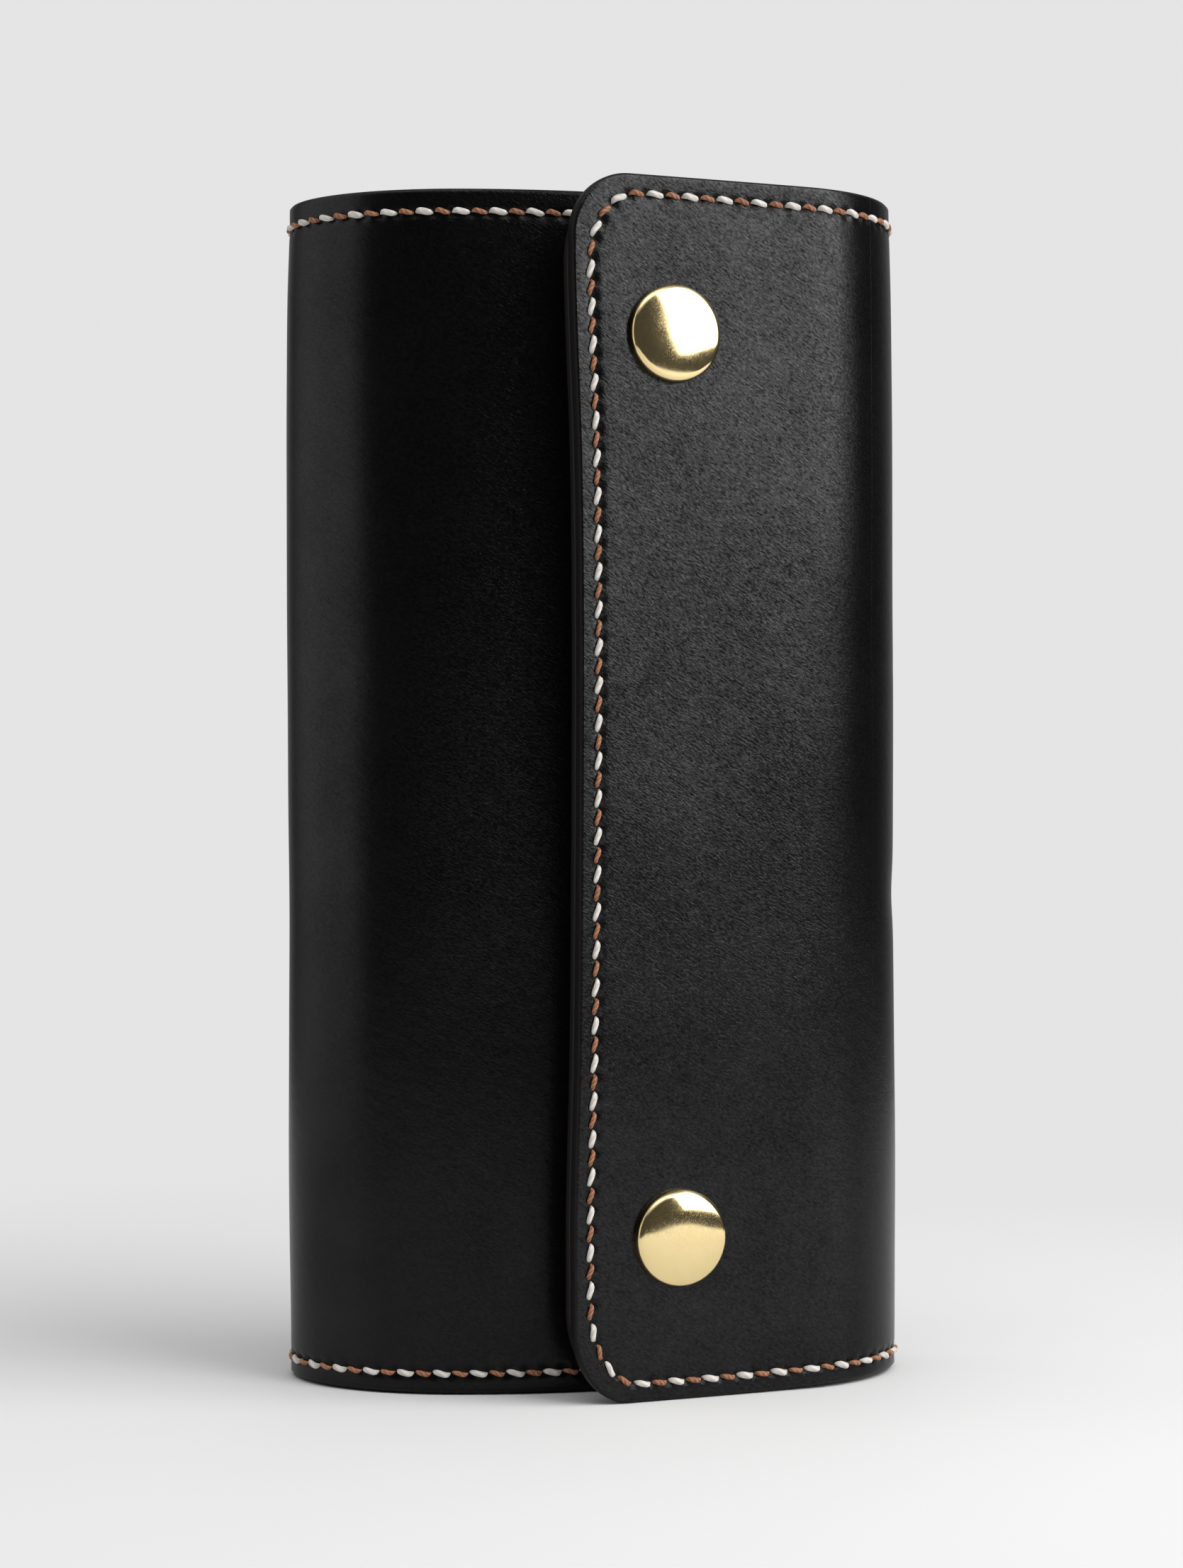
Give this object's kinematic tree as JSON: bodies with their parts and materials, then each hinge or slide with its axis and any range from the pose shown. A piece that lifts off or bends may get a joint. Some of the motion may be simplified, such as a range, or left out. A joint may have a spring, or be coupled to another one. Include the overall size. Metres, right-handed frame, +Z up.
{
  "type": "leather clutch",
  "caption": "Slim lined leather clutch with saddle-stitched edges, end gussets and a wrap-over flap that closes with brass snap fasteners.",
  "frame": {"origin": "under the middle of the clutch's box, on the surface it stands on", "axes": "+Z up along the clutch's length, -Y towards the front with the flap and snaps, +X towards the wrapped edge that the flap swings on"},
  "size_m": [0.0984, 0.0491, 0.1912],
  "materials": {
    "black_leather": "smooth semi-matte black, fine grain, burnished edges",
    "lining_leather": "matte dark brown-black",
    "brass": "polished",
    "spring_steel": "plain",
    "waxed_thread": "waxed linen, natural white and brown in turn"
  },
  "bodies": {
    "body": {"cover_body": "black_leather", "lining_body": "lining_leather", "gusset_top": "black_leather", "gusset_bottom": "black_leather", "slip_pocket": "lining_leather", "thread_body": "waxed_thread", "thread_pocket": "waxed_thread", "snap_stud_upper": "brass", "snap_stud_lower": "brass", "snap_eyelet_upper": "brass", "snap_eyelet_lower": "brass"},
    "back_strip": {"cover_back_strip": "black_leather", "lining_back_strip": "lining_leather", "thread_back_strip_top": "waxed_thread", "thread_back_strip_bottom": "waxed_thread"},
    "side_strip": {"cover_side_strip": "black_leather", "lining_side_strip": "lining_leather", "thread_side_strip_top": "waxed_thread", "thread_side_strip_bottom": "waxed_thread"},
    "front_strip": {"cover_front_strip": "black_leather", "lining_front_strip": "lining_leather", "thread_front_strip_top": "waxed_thread", "thread_front_strip_bottom": "waxed_thread"},
    "flap": {"cover_flap": "black_leather", "lining_flap": "lining_leather", "thread_flap": "waxed_thread", "snap_cap_upper": "brass", "snap_cap_lower": "brass", "snap_socket_upper": "brass", "snap_socket_lower": "brass", "snap_spring_upper": "spring_steel", "snap_spring_lower": "spring_steel"}
  },
  "joints": [
    {"name": "back_fold", "type": "hinge", "parent": "body", "child": "back_strip", "pos_m": [0.04278, 0.02371, 0.0956], "axis": [0, 0, 1], "range_deg": [0, 45]},
    {"name": "back_side_fold", "type": "hinge", "parent": "back_strip", "child": "side_strip", "pos_m": [0.04841, 0.01808, 0.0956], "axis": [0, 0, 1], "range_deg": [0, 45]},
    {"name": "front_side_fold", "type": "hinge", "parent": "side_strip", "child": "front_strip", "pos_m": [0.04816, 0.00695, 0.0956], "axis": [0, 0, 1], "range_deg": [0, 33]},
    {"name": "flap_fold", "type": "hinge", "parent": "front_strip", "child": "flap", "pos_m": [0.04031, -0.00502, 0.0956], "axis": [0, 0, 1], "range_deg": [0, 33], "deforming": ["snap_spring_upper", "snap_spring_lower"]}
  ],
  "couplings": [
    {"joint": "back_side_fold", "follows": "back_fold", "ratio": 1},
    {"joint": "front_side_fold", "follows": "back_fold", "ratio": 0.73333},
    {"joint": "flap_fold", "follows": "back_fold", "ratio": 0.73333}
  ]
}
